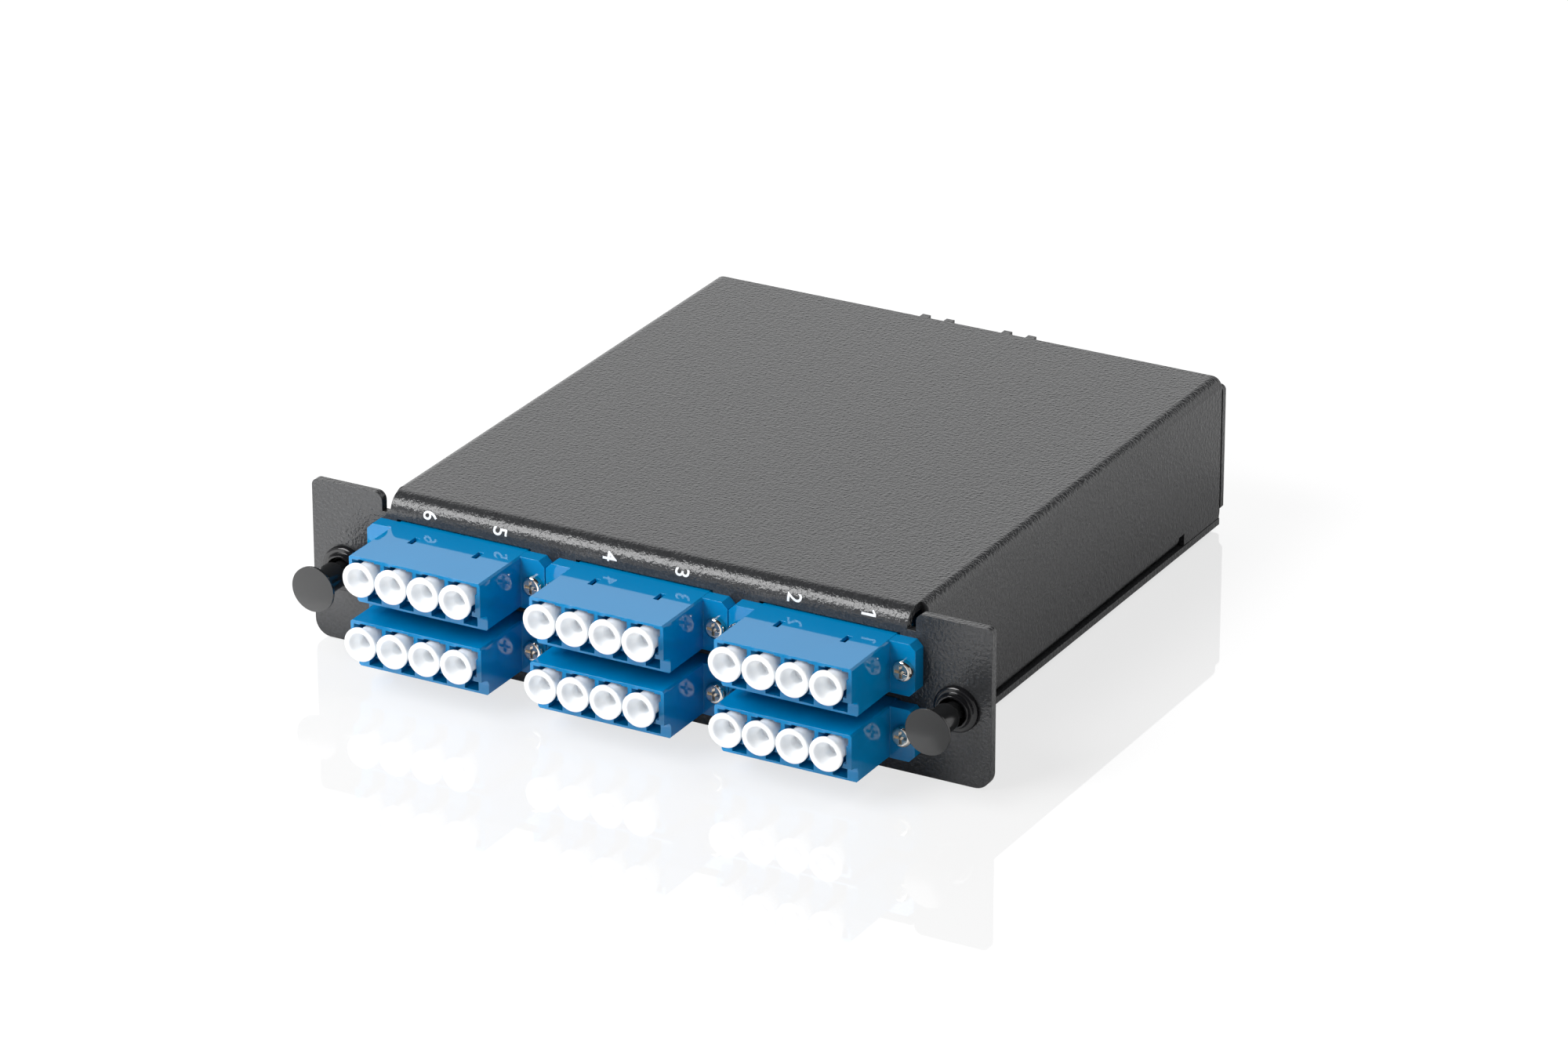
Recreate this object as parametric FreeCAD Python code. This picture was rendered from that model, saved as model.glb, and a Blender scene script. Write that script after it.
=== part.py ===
import FreeCAD, Part
import os
from math import acos, pi, sin, tan

# Fibre cassette for a panel bay: a folded sheet housing with six four-port
# adapters in its front panel, two multi-fibre adapters in its back panel and
# the fibre harness that joins them inside.
#
# Frame: X runs along the panel, Y runs from the panel's front face (Y = 0)
# into the housing, Z is up. Z = 0 is the panel's lower edge, X = 0 the middle.
# All lengths are in millimetres.

# Housing cover sheet
SHEET = 1.5
EAR_W = 14.0
PANEL_H = 28.9
COVER_DEPTH = 114.4
FRONT_BEND_R = 3.2
SIDE_BEND_R = 2.0
LOW_BEND_R = 2.4
EAR_TOP_R = 1.1
EAR_INNER_R = 1.5
EAR_LOW_R = 3.0
SLOT_W = 1.6
RELIEF_R = 1.75
RELIEF_BACK = 0.4
FLANGE_W = 9.0
FLANGE_START = 15.0
FLANGE_TAIL = 16.0
NOTCH_W = 2.0
WALL_GAP = 0.2
TOOTH_W = 1.6
TOOTH_L = 1.3
TOOTH_PITCH = 4.8
TOOTH_PAIR_X = (-5.8, 10.6)

# Base tray sheet
BASE_SHEET = 1.2
BASE_DROP = 0.8
BASE_BEND_R = 1.7
BASE_FRONT_GAP = 0.1
BACK_GAP = 0.7
BACK_TOP_CLEAR = 0.0
BACK_CORNER_R = 1.0
BACK_SHOULDER = 1.0
BACK_SIDE_CLEAR = 0.1
BEND_NOTCH_X = 0.8
BEND_NOTCH_Z = 0.5

# Four-port adapter
COLUMN_CLEAR = 1.75
ROW_LOW_SHARE = 0.265
ROW_GAP_SHARE = 0.49
ADAPTER_SIDE = 0.25
ADAPTER_H = 9.4
ADAPTER_FRONT = 15.9
ADAPTER_REAR = 12.5
ADAPTER_EDGE = 0.3
TAB_REACH = 4.65
TAB_GAP = 0.2
TAB_TRIM = 0.05
TAB_T = 2.75
TAB_CHAMFER = 1.1
TAB_SCREW_EDGE = 2.05
CUTOUT_GAP_X = 0.35
CUTOUT_GAP_Z = 0.3
PORT_PITCH = 6.25
PORT_AXIS_DROP = 3.0
PORT_TOP_WALL = 0.67
PORT_STEP_DROP = 2.1
PORT_WALL = 0.75
PORT_STEP = 0.35
PORT_RIM_W = 3.1
PORT_RIM_DEPTH = 0.2
LEDGE_TOP_DROP = 5.3
LEDGE_H = 0.8
LEDGE_IN = 0.63
LATCH_HALF = 1.35
LATCH_FLOOR = 0.4
LATCH_SETBACK = 2.35
LATCH_SLOPE = 0.45
LATCH_CORNER_R = 1.3
WEB_T = 2.4
BARREL_R = 1.45
BARREL_L = 8.0
WINDOW_Y = 5.8
WINDOW_W = 1.0
WINDOW_L = 2.6

# Alignment sleeve and plug
SLEEVE_R = 0.81
SLEEVE_BORE_R = 0.63
SLEEVE_L = 6.8
SLEEVE_CLEAR = 0.02
SLEEVE_END_CLEAR = 0.05
BARREL_LIP = 0.12
SLEEVE_SLIT = 0.15
FERRULE_R = 0.61
PLUG_CLEAR = 0.2
PLUG_NOSE_GAP = 1.1
PLUG_BODY_L = 15.0
PLUG_LATCH_HALF = 0.9
PLUG_LATCH_DROP = 1.3
BOOT_R = 1.8
BOOT_TIP_R = 1.0
BOOT_L = 8.0

# Port dust cap
CAP_HEAD_GAP = 0.15
CAP_HEAD_T = 0.6
CAP_PROUD = 2.7
CAP_STEM_CLEAR = 0.28
CAP_STEM_IN = 7.4
CAP_RIM_W = 0.91
CAP_CONE_DEPTH = 1.9
CAP_HOLE_R = 1.23
CAP_HOLE_DEPTH = 3.6
CAP_EDGE_R = 0.15

# Panel plunger and its grommet
PLUNGER_EDGE = 6.3
PLUNGER_DROP = 0.85
GROMMET_R = 4.05
GROMMET_T = 1.0
BOSS_R = 3.15
BOSS_TIP_R = 2.9
BOSS_T = 1.0
GROMMET_NECK_R = 3.35
NECK_CLEAR = 0.1
LEG_R = 3.0
LEG_L = 6.0
LEG_TIP_L = 1.5
LEG_TIP_R = 2.3
LEG_SLOT_W = 0.5
LEG_SLOT_TURN = 45.0
LEG_SLOT_START = 0.6
SHAFT_R = 1.7
SHAFT_CLEAR = 0.09
BARREL_KNOB_R = 2.4
SHOULDER_Y = -3.2
SEAT_CLEAR = 0.1
PLUNGER_PAST = 4.0
KNOB_R = 4.1
KNOB_T = 0.8
KNOB_BACK_Y = -9.8
KNOB_EDGE_R = 0.25
KNOB_DOME_R = 45.0

# Small fasteners
SCREW_R = 0.98
SCREW_CLEAR = 0.12
SCREW_HEAD_R = 1.85
SCREW_HEAD_T = 1.25
SCREW_HEAD_EDGE = 0.55
CROSS_W = 0.55
CROSS_L = 2.3
CROSS_D = 0.8
NUT_AF = 4.0
NUT_T = 1.6
THREAD_CLEAR = 0.02
SCREW_TIP = 0.2
BASE_SCREW_R = 1.45
BASE_SCREW_HEAD_R = 2.6
BASE_SCREW_L = 4.2
BASE_SCREW_HOLE_CLEAR = 0.15
BASE_SCREW_EDGE = 4.6
BASE_CROSS_D = 0.45
BASE_SCREW_ROUND = 0.3
BASE_SCREW_INSET = 9.7

# Multi-fibre adapter at the back
REAR_X = 15.0
REAR_W = 14.0
REAR_H = 9.2
REAR_FRONT_L = 14.0
REAR_BACK_L = 11.5
REAR_REACH = 4.2
REAR_FLANGE_UP = 0.05
REAR_FLANGE_T = 1.8
REAR_CUT_CLEAR = 0.2
REAR_WALL = 0.8
REAR_WEB_T = 2.0
REAR_PASS_W = 6.8
REAR_PASS_H = 2.9
REAR_KEY_W = 3.0
REAR_KEY_H = 0.5
REAR_PLUG_CLEAR = 0.1
REAR_PLUG_L = 19.0
REAR_PLUG_GAP = 0.5
REAR_FERRULE_W = 6.4
REAR_FERRULE_H = 2.5
REAR_FERRULE_L = 4.5
REAR_BOOT_L = 8.0
REAR_BOOT_R = 2.6
REAR_CAP_HEAD = 2.2
REAR_CAP_IN = 10.0
REAR_CAP_RIM = 0.4
REAR_CAP_GAP = 0.2
REAR_CAP_EDGE_R = 0.8

# Fan-out of the fibres
FIBRE_R = 0.45
FIBRE_PITCH = 2.2
FIBRE_RUN = 31.0
BLOCK_L = 8.0
BLOCK_H = 3.2
BLOCK_SIDE = 0.9
HOLDER_WALL = 1.6
HOLDER_TOP = 1.4
HOLDER_L = 5.0
HOLDER_FOOT_L = 14.0
HOLDER_FOOT_T = 1.4
FIBRE_LEAD = 5.0
TRUNK_R = 1.5
TRUNK_LEAD = 4.0

# Values that follow from the sizes above
ADAPTER_W = 4 * PORT_PITCH + 2 * ADAPTER_SIDE
TAB_W = ADAPTER_W + 2 * TAB_REACH
TAB_H = ADAPTER_H - 2 * TAB_TRIM
TAB_SCREW_X = TAB_W / 2 - TAB_SCREW_EDGE
COLUMN_PITCH = TAB_W + TAB_GAP
BODY_W = 2 * (COLUMN_PITCH + SHEET + COLUMN_CLEAR) + ADAPTER_W
BODY_HALF = BODY_W / 2
PANEL_W = BODY_W + 2 * EAR_W
WALL_Y = FRONT_BEND_R + 0.3
BEND_LINE_Z = PANEL_H - FRONT_BEND_R
BASE_TOP = BASE_DROP + BASE_SHEET
FLANGE_END = COVER_DEPTH - FLANGE_TAIL
BASE_SCREW_FIRST = FLANGE_START + BASE_SCREW_INSET
BASE_SCREW_LAST = FLANGE_END - BASE_SCREW_INSET
BASE_SCREW_Y = (BASE_SCREW_FIRST, (BASE_SCREW_FIRST + BASE_SCREW_LAST) / 2, BASE_SCREW_LAST)
BACK_IN_Y = COVER_DEPTH + BACK_GAP
BACK_Y = BACK_IN_Y + BASE_SHEET
BACK_TOP = PANEL_H - SHEET - BACK_TOP_CLEAR
COLUMNS = (-COLUMN_PITCH, 0.0, COLUMN_PITCH)
ROW_SPARE = BEND_LINE_Z - BASE_TOP - 2 * ADAPTER_H
ROW_PITCH = ADAPTER_H + ROW_GAP_SHARE * ROW_SPARE
LOW_ROW_Z = BASE_TOP + ROW_LOW_SHARE * ROW_SPARE + ADAPTER_H / 2
ROWS = (LOW_ROW_Z + ROW_PITCH, LOW_ROW_Z)
PORT_DX = tuple((i - 1.5) * PORT_PITCH for i in range(4))
PORT_WIDE_HALF = (PORT_PITCH - PORT_WALL) / 2
PORT_HALF = PORT_WIDE_HALF - PORT_STEP
CAP_HEAD_R = (PORT_PITCH - CAP_HEAD_GAP) / 2
CAP_MOUTH_R = CAP_HEAD_R - CAP_RIM_W
CAP_STEM_R = PORT_HALF - CAP_STEM_CLEAR
PLUG_HALF = PORT_HALF - PLUG_CLEAR
AXIS_UP = ADAPTER_H / 2 - PORT_AXIS_DROP
ADAPTER_MID_Y = (ADAPTER_REAR - ADAPTER_FRONT) / 2
PLUNGER_X = PANEL_W / 2 - PLUNGER_EDGE
PLUNGER_Z = PANEL_H / 2 - PLUNGER_DROP
GROMMET_HOLE_R = GROMMET_NECK_R + NECK_CLEAR
LEG_END = SHEET + LEG_L
GROMMET_TIP = LEG_END + LEG_TIP_L
GROMMET_FACE = -GROMMET_T - BOSS_T
TRAVEL = GROMMET_FACE - KNOB_BACK_Y - SEAT_CLEAR
COUNTERBORE_Y = SHOULDER_Y + TRAVEL + SEAT_CLEAR
TAB_HOLE_R = SCREW_R + SCREW_CLEAR
BASE_SCREW_HEAD_T = BASE_DROP
PLUG_START = ADAPTER_MID_Y + BARREL_L / 2 + PLUG_NOSE_GAP
PLUG_END = PLUG_START + PLUG_BODY_L
FIBRE_START = PLUG_END + BOOT_L
BLOCK_Y = FIBRE_START + FIBRE_RUN
REAR_Z = (BASE_TOP + BACK_TOP) / 2
REAR_FLANGE_W = REAR_W + 2 * REAR_REACH
REAR_FLANGE_H = REAR_H + 2 * REAR_FLANGE_UP
REAR_SCREW_X = (REAR_W + REAR_REACH) / 2
REAR_INNER_Y = BACK_Y - BASE_SHEET - REAR_FRONT_L
REAR_OUTER_Y = BACK_Y + REAR_BACK_L
REAR_MID_Y = (REAR_INNER_Y + REAR_OUTER_Y) / 2
REAR_PLUG_TIP = REAR_MID_Y - REAR_WEB_T / 2 - REAR_PLUG_GAP
REAR_PLUG_BACK = REAR_PLUG_TIP - REAR_PLUG_L
TRUNK_END = REAR_PLUG_BACK - REAR_BOOT_L


def point(plane, a, b, c):
    """Point with in-plane coordinates a, b and coordinate c along the plane's normal."""
    if plane == "xz":
        return FreeCAD.Vector(a, c, b)
    if plane == "yz":
        return FreeCAD.Vector(c, a, b)
    return FreeCAD.Vector(a, b, c)


def outline(plane, corners, c):
    """Closed wire through corners (a, b, radius), with each corner rounded by its radius."""
    tangents = []
    count = len(corners)
    for i in range(count):
        a, b, radius = corners[i]
        here = FreeCAD.Vector(a, b, 0)
        if radius <= 0:
            tangents.append((here, None, here))
            continue
        back = (FreeCAD.Vector(corners[i - 1][0], corners[i - 1][1], 0) - here).normalize()
        ahead = corners[(i + 1) % count]
        ahead = (FreeCAD.Vector(ahead[0], ahead[1], 0) - here).normalize()
        half = acos(back.dot(ahead)) / 2
        middle = (back + ahead).normalize()
        reach = radius / tan(half)
        inner = here + middle * (radius / sin(half) - radius)
        tangents.append((here + back * reach, inner, here + ahead * reach))
    edges = []
    for i in range(count):
        start, inner, end = tangents[i]
        after = tangents[(i + 1) % count][0]
        if inner is not None:
            arc = [point(plane, p.x, p.y, c) for p in (start, inner, end)]
            edges.append(Part.Arc(*arc).toShape())
        if (after - end).Length > 1e-6:
            ends = [point(plane, p.x, p.y, c) for p in (end, after)]
            edges.append(Part.makeLine(*ends))
    return Part.Wire(edges)


def prism(plane, corners, low, high):
    """Solid with the given outline in the plane, from low to high along its normal."""
    face = Part.Face(outline(plane, corners, low))
    return face.extrude(point(plane, 0, 0, high - low))


def box(x0, x1, y0, y1, z0, z1):
    """Block between the given limits."""
    return Part.makeBox(x1 - x0, y1 - y0, z1 - z0, FreeCAD.Vector(x0, y0, z0))


def rod_y(x, z, radius, y0, y1):
    """Round bar along Y."""
    return Part.makeCylinder(radius, y1 - y0, FreeCAD.Vector(x, y0, z), FreeCAD.Vector(0, 1, 0))


def rod_z(x, y, radius, z0, z1):
    """Round bar along Z."""
    return Part.makeCylinder(radius, z1 - z0, FreeCAD.Vector(x, y, z0), FreeCAD.Vector(0, 0, 1))


def turned(corners, x, z):
    """Solid of revolution about the Y line through x, z; corners are (radius, y, rounding)."""
    face = Part.Face(outline("xy", [(x + r, y, f) for r, y, f in corners], z))
    return face.revolve(FreeCAD.Vector(x, 0, z), FreeCAD.Vector(0, 1, 0), 360)


def group(solids):
    """Several separate solids kept together as one piece."""
    return Part.makeCompound(list(solids))


def adapter_places():
    """Centre of each adapter, upper row first, from left to right."""
    return [(x, z) for z in ROWS for x in COLUMNS]


def port_places(x, z):
    """Axis of each port of the adapter centred at x, z."""
    return [(x + dx, z + AXIS_UP) for dx in PORT_DX]


def panel_plate():
    """Front panel with its two ears and the slots beside the front bend."""
    half = PANEL_W / 2
    right = [(half, 0, EAR_LOW_R), (half, PANEL_H, EAR_TOP_R), (BODY_HALF, PANEL_H, EAR_INNER_R),
             (BODY_HALF, BEND_LINE_Z, 0)]
    left = [(-a, b, r) for a, b, r in reversed(right)]
    plate = prism("xz", right + left, 0, SHEET)
    for x, z in adapter_places():
        w = ADAPTER_W / 2 + CUTOUT_GAP_X
        h = ADAPTER_H / 2 + CUTOUT_GAP_Z
        plate = plate.cut(box(x - w, x + w, -1, SHEET + 1, z - h, z + h))
        for side in (-1, 1):
            plate = plate.cut(rod_y(x + side * TAB_SCREW_X, z, TAB_HOLE_R, -1, SHEET + 1))
    for side in (-1, 1):
        plate = plate.cut(rod_y(side * PLUNGER_X, PLUNGER_Z, GROMMET_HOLE_R, -1, SHEET + 1))
    return plate


def front_bend():
    """Bend that joins the top plate to the panel, with a short flat run on each side of it."""
    run = WALL_Y + 2.0
    inner = FRONT_BEND_R - SHEET
    corners = [(0, BEND_LINE_Z - 1.0, 0), (SHEET, BEND_LINE_Z - 1.0, 0), (SHEET, PANEL_H - SHEET, inner),
               (run, PANEL_H - SHEET, 0), (run, PANEL_H, 0), (0, PANEL_H, FRONT_BEND_R)]
    half = BODY_HALF - SLOT_W
    bend = prism("yz", corners, -half, half)
    for x in COLUMNS:
        w = ADAPTER_W / 2 + CUTOUT_GAP_X
        top = ROWS[0] + ADAPTER_H / 2 + CUTOUT_GAP_Z
        bend = bend.cut(box(x - w, x + w, -1, SHEET, top - ADAPTER_H, top))
    return bend


def folded_shell():
    """Top plate, side walls, lower bends and the two flanges turned in under the walls."""
    r_in_top = SIDE_BEND_R - SHEET
    r_in_low = LOW_BEND_R - SHEET
    h = BODY_HALF
    i = BODY_HALF - SHEET
    outer = prism("xz", [(-h, BASE_TOP, LOW_BEND_R), (h, BASE_TOP, LOW_BEND_R), (h, PANEL_H, SIDE_BEND_R),
                         (-h, PANEL_H, SIDE_BEND_R)], WALL_Y, COVER_DEPTH)
    inner = prism("xz", [(-i, BASE_TOP + SHEET, r_in_low), (i, BASE_TOP + SHEET, r_in_low),
                         (i, PANEL_H - SHEET, r_in_top), (-i, PANEL_H - SHEET, r_in_top)],
                  WALL_Y - 1, COVER_DEPTH + 1)
    shell = outer.cut(inner)
    lip = h - FLANGE_W
    shell = shell.cut(box(-lip, lip, WALL_Y - 1, COVER_DEPTH + 1, BASE_TOP - 1, BASE_TOP + SHEET + 1))
    low_z = BASE_TOP + LOW_BEND_R
    for y0, y1 in ((WALL_Y - 1, FLANGE_START), (FLANGE_END, COVER_DEPTH + 1)):
        shell = shell.cut(box(-h - 1, h + 1, y0, y1, BASE_TOP - 1, low_z))
    for y0, y1 in ((WALL_Y, FLANGE_START - NOTCH_W), (FLANGE_END + NOTCH_W, COVER_DEPTH)):
        for x0 in (-h, i):
            shell = shell.fuse(box(x0, x0 + SHEET, y0, y1, BASE_TOP + WALL_GAP, low_z + 0.5))
    return shell


def corner_relief(side):
    """Round relief hole where the front bend, the side bend and the ear meet."""
    middle = FreeCAD.Vector(side * (BODY_HALF - SIDE_BEND_R / 2), WALL_Y - RELIEF_BACK, PANEL_H - SIDE_BEND_R / 2)
    along = FreeCAD.Vector(side, 0, 1).normalize()
    return Part.makeCylinder(RELIEF_R, 8, middle - along * 4, along)


def housing_cover():
    """Top, front panel with ears, side walls and return flanges, folded from one sheet."""
    bend = front_bend()
    shell = folded_shell()
    for side in (-1, 1):
        shell = shell.cut(corner_relief(side))
    cover = shell.fuse([bend, panel_plate()])
    for pair in TOOTH_PAIR_X:
        for step in (-TOOTH_PITCH / 2, TOOTH_PITCH / 2):
            x = pair + step
            cover = cover.fuse(box(x - TOOTH_W / 2, x + TOOTH_W / 2, COVER_DEPTH - 1, COVER_DEPTH + TOOTH_L,
                                   PANEL_H - SHEET, PANEL_H))
    for x, y in base_screw_places():
        cover = cover.cut(rod_z(x, y, BASE_SCREW_R + THREAD_CLEAR, BASE_TOP - 1, BASE_TOP + SHEET + 1))
    return cover.removeSplitter()


def base_screw_places():
    """Screws that hold the base to the cover's flanges."""
    x = BODY_HALF - BASE_SCREW_EDGE
    return [(side * x, y) for y in BASE_SCREW_Y for side in (-1, 1)]


def rear_places():
    """Centre line of each adapter in the back panel."""
    return [(-REAR_X, REAR_Z), (REAR_X, REAR_Z)]


def base_tray():
    """Bottom plate folded up at the rear into the back panel, one sheet."""
    flat_end = BACK_Y - BASE_BEND_R
    tray = box(-BODY_HALF, BODY_HALF, SHEET + BASE_FRONT_GAP, flat_end, BASE_DROP, BASE_TOP)
    inner = BASE_BEND_R - BASE_SHEET
    corners = [(flat_end - 1, BASE_DROP, 0), (BACK_Y, BASE_DROP, BASE_BEND_R), (BACK_Y, BACK_TOP, 0),
               (BACK_IN_Y, BACK_TOP, 0), (BACK_IN_Y, BASE_TOP, inner), (flat_end - 1, BASE_TOP, 0)]
    narrow = BODY_HALF - BEND_NOTCH_X
    core = narrow - BACK_SHOULDER
    tray = tray.fuse(prism("yz", corners, -core, core))
    wide = BODY_HALF - BACK_SIDE_CLEAR
    low = BASE_DROP + BASE_BEND_R
    step = low + BEND_NOTCH_Z
    wing_top = BACK_TOP - SIDE_BEND_R + SHEET
    wings = [(wide, step + BEND_NOTCH_X, 0), (wide, wing_top, BACK_CORNER_R), (core, wing_top, 0),
             (core - 1, wing_top, 0), (core - 1, low, 0), (narrow, low, 0), (narrow, step, 0)]
    tray = tray.fuse(prism("xz", wings, BACK_IN_Y, BACK_Y))
    tray = tray.fuse(prism("xz", [(-a, b, r) for a, b, r in reversed(wings)], BACK_IN_Y, BACK_Y))
    bend = [(flat_end - 1, BASE_DROP, 0), (BACK_Y, BASE_DROP, BASE_BEND_R), (BACK_Y, low + 1, 0),
            (BACK_IN_Y, low + 1, 0), (BACK_IN_Y, BASE_TOP, inner), (flat_end - 1, BASE_TOP, 0)]
    tray = tray.fuse(prism("yz", bend, -narrow, narrow))
    for x, y in base_screw_places():
        tray = tray.cut(rod_z(x, y, BASE_SCREW_R + BASE_SCREW_HOLE_CLEAR, BASE_DROP - 1, BASE_TOP + 1))
    w = REAR_W / 2 + REAR_CUT_CLEAR
    h = REAR_H / 2 + REAR_CUT_CLEAR
    for x, z in rear_places():
        tray = tray.cut(box(x - w, x + w, BACK_IN_Y - 1, BACK_Y + 1, z - h, z + h))
        for side in (-1, 1):
            tray = tray.cut(rod_y(x + side * REAR_SCREW_X, z, TAB_HOLE_R, BACK_IN_Y - 1, BACK_Y + 1))
    return tray.removeSplitter()


def latch_cut(x, z, end, toward):
    """Set-back of the lower front of the body, which frees the latch of a plug."""
    top = z + ADAPTER_H / 2 - LEDGE_TOP_DROP - LEDGE_H
    low = z - ADAPTER_H / 2 - 1
    back = end + toward * LATCH_SETBACK
    corners = [(end - toward, top, 0), (end, top, 0), (back, top - LATCH_SLOPE, LATCH_CORNER_R), (back, low, 0),
               (end - toward, low, 0)]
    half = ADAPTER_W / 2 + 1
    return prism("yz", corners, x - half, x + half)


def port_cut(x, z, end, toward):
    """One socket: wide top, stepped walls, ledges and the latch channel below them."""
    top = z + ADAPTER_H / 2
    low = z - ADAPTER_H / 2
    floor = ADAPTER_MID_Y - toward * WEB_T / 2
    y0, y1 = sorted((end - toward, floor))
    rim = sorted((end - toward, end + toward * 1.5))
    ledge_z = top - LEDGE_TOP_DROP
    levels = [(PORT_WIDE_HALF, top - PORT_STEP_DROP, top - PORT_TOP_WALL),
              (PORT_HALF, ledge_z, top - PORT_STEP_DROP),
              (PORT_HALF - LEDGE_IN, ledge_z - LEDGE_H, ledge_z),
              (LATCH_HALF, low + LATCH_FLOOR, ledge_z - LEDGE_H)]
    hole = None
    for half, z0, z1 in levels:
        block = box(x - half, x + half, y0, y1, z0, z1)
        hole = block if hole is None else hole.fuse(block)
    lift = box(x - PORT_RIM_W / 2, x + PORT_RIM_W / 2, rim[0], rim[1], top - PORT_TOP_WALL - 0.1,
               top - PORT_TOP_WALL + PORT_RIM_DEPTH)
    hole = hole.fuse(lift)
    barrel = rod_y(x, z + AXIS_UP, BARREL_R, ADAPTER_MID_Y - BARREL_L / 2, ADAPTER_MID_Y + BARREL_L / 2)
    return hole.cut(barrel)


def lc_adapter(x, z):
    """Moulded adapter with four sockets in front, four behind and a screw tab at each side."""
    w = ADAPTER_W / 2
    h = ADAPTER_H / 2
    e = ADAPTER_EDGE
    body = prism("xz", [(x - w + e, z - h, 0), (x + w - e, z - h, 0), (x + w, z - h + e, 0), (x + w, z + h - e, 0),
                        (x + w - e, z + h, 0), (x - w + e, z + h, 0), (x - w, z + h - e, 0), (x - w, z - h + e, 0)],
                 -ADAPTER_FRONT, ADAPTER_REAR)
    t = TAB_W / 2
    v = TAB_H / 2
    c = TAB_CHAMFER
    tab = prism("xz", [(x - t + c, z - v, 0), (x + t - c, z - v, 0), (x + t, z - v + c, 0), (x + t, z + v - c, 0),
                       (x + t - c, z + v, 0), (x - t + c, z + v, 0), (x - t, z + v - c, 0), (x - t, z - v + c, 0)],
                -TAB_T, 0)
    body = body.fuse(tab)
    cuts = [latch_cut(x, z, -ADAPTER_FRONT, 1), latch_cut(x, z, ADAPTER_REAR, -1)]
    for px, pz in port_places(x, z):
        cuts.append(port_cut(px, z, -ADAPTER_FRONT, 1))
        cuts.append(port_cut(px, z, ADAPTER_REAR, -1))
        seat = SLEEVE_L / 2 + SLEEVE_END_CLEAR
        bore = SLEEVE_R + SLEEVE_CLEAR
        cuts.append(rod_y(px, pz, bore, ADAPTER_MID_Y - seat, ADAPTER_MID_Y + seat))
        cuts.append(rod_y(px, pz, bore - BARREL_LIP, ADAPTER_MID_Y - BARREL_L, ADAPTER_MID_Y + BARREL_L))
    for side in (-1, 1):
        cuts.append(rod_y(x + side * TAB_SCREW_X, z, TAB_HOLE_R, -TAB_T - 1, 1))
        wx = x + side * PORT_PITCH
        cuts.append(box(wx - WINDOW_W / 2, wx + WINDOW_W / 2, -WINDOW_Y - WINDOW_L / 2, -WINDOW_Y + WINDOW_L / 2,
                        z + h - PORT_TOP_WALL - 0.1, z + h + 1))
    return body.cut(cuts).removeSplitter()


def sleeve(x, z):
    """Split alignment sleeve of one port."""
    y0 = ADAPTER_MID_Y - SLEEVE_L / 2
    y1 = ADAPTER_MID_Y + SLEEVE_L / 2
    tube = rod_y(x, z, SLEEVE_R, y0, y1).cut(rod_y(x, z, SLEEVE_BORE_R, y0 - 1, y1 + 1))
    slit = box(x - SLEEVE_SLIT / 2, x + SLEEVE_SLIT / 2, y0 - 1, y1 + 1, z, z + SLEEVE_R + 1)
    return tube.cut(slit)


def lc_plug(x, z):
    """Plug held in the rear socket of a port, with its ferrule, latch and boot."""
    body = box(x - PLUG_HALF, x + PLUG_HALF, PLUG_START, PLUG_END, z - PLUG_HALF, z + PLUG_HALF)
    ferrule = rod_y(x, z, FERRULE_R, ADAPTER_MID_Y + 0.1, PLUG_START + 1)
    latch = box(x - PLUG_LATCH_HALF, x + PLUG_LATCH_HALF, PLUG_START + 2.5, PLUG_END - 1,
                z - PLUG_HALF - PLUG_LATCH_DROP, z - PLUG_HALF + 0.5)
    boot = turned([(0, PLUG_END - 0.5, 0), (BOOT_R, PLUG_END - 0.5, 0), (BOOT_R, PLUG_END + 2, 0),
                   (BOOT_TIP_R, FIBRE_START, 0), (0, FIBRE_START, 0)], x, z)
    return body.fuse([ferrule, latch, boot]).removeSplitter()


def dust_cap(x, z):
    """Push-in dust cap: flanged head with a dished hole, on a round stem."""
    front = -ADAPTER_FRONT - CAP_PROUD
    back = -ADAPTER_FRONT + CAP_STEM_IN
    head_y = front + CAP_HEAD_T
    e = CAP_EDGE_R
    return turned([(CAP_MOUTH_R, front, 0.2), (CAP_HEAD_R, front, e), (CAP_HEAD_R, head_y, e),
                   (CAP_STEM_R, head_y, 0), (CAP_STEM_R, back, 0.3), (0, back, 0),
                   (0, front + CAP_HOLE_DEPTH, 0), (CAP_HOLE_R, front + CAP_HOLE_DEPTH, 0),
                   (CAP_HOLE_R, front + CAP_CONE_DEPTH, 0.3)], x, z)


def grommet(x, z):
    """Snap-in grommet: flange and boss in front of the ear, split legs behind it."""
    bore = SHAFT_R + SHAFT_CLEAR
    mouth = BARREL_KNOB_R + SHAFT_CLEAR
    ring = turned([(mouth, GROMMET_FACE, 0.15), (BOSS_TIP_R, GROMMET_FACE, 0.1), (BOSS_R, -GROMMET_T, 0.2),
                   (GROMMET_R, -GROMMET_T, 0.5), (GROMMET_R, 0, 0), (GROMMET_NECK_R, 0, 0),
                   (GROMMET_NECK_R, SHEET, 0), (LEG_R, SHEET, 0), (LEG_R, LEG_END, 0), (LEG_TIP_R, GROMMET_TIP, 0),
                   (bore, GROMMET_TIP, 0), (bore, COUNTERBORE_Y, 0), (mouth, COUNTERBORE_Y, 0)], x, z)
    w = LEG_SLOT_W / 2
    y0 = SHEET + LEG_SLOT_START
    slots = [box(x - w, x + w, y0, GROMMET_TIP + 1, z - LEG_R - 1, z + LEG_R + 1),
             box(x - LEG_R - 1, x + LEG_R + 1, y0, GROMMET_TIP + 1, z - w, z + w)]
    turned_slots = [s.rotate(FreeCAD.Vector(x, 0, z), FreeCAD.Vector(0, 1, 0), LEG_SLOT_TURN) for s in slots]
    return ring.cut(turned_slots)


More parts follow.
